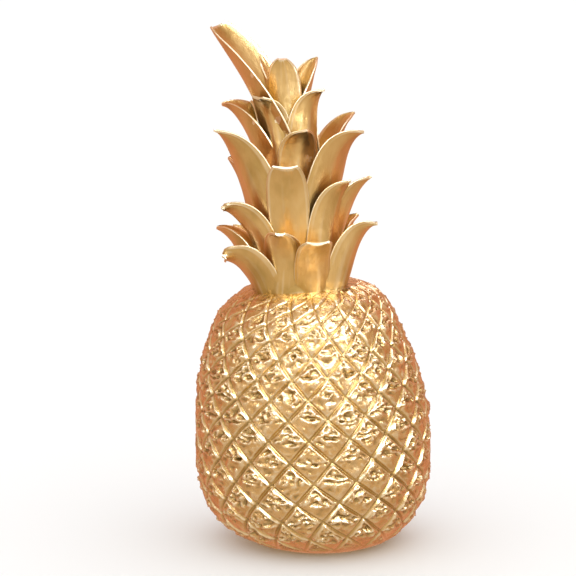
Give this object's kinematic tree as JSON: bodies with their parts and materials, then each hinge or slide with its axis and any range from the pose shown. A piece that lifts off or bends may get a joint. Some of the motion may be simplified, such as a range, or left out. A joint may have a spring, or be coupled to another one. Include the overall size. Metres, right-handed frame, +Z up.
{
  "type": "pineapple ornament",
  "caption": "Free-standing pineapple ornament cast in one piece, with diamond scales in relief, a flat underside and a tall crown of curling leaves.",
  "frame": {"origin": "centre of the flat underside", "axes": "+Z up along the ornament, -Y towards the viewer of the reference picture, +X to the viewer's right"},
  "size_m": [0.1361, 0.1359, 0.3001],
  "materials": {
    "gold_paint": "satin gold metallic paint over cast resin"
  },
  "bodies": {
    "root": {"pineapple": "gold_paint"}
  },
  "joints": []
}
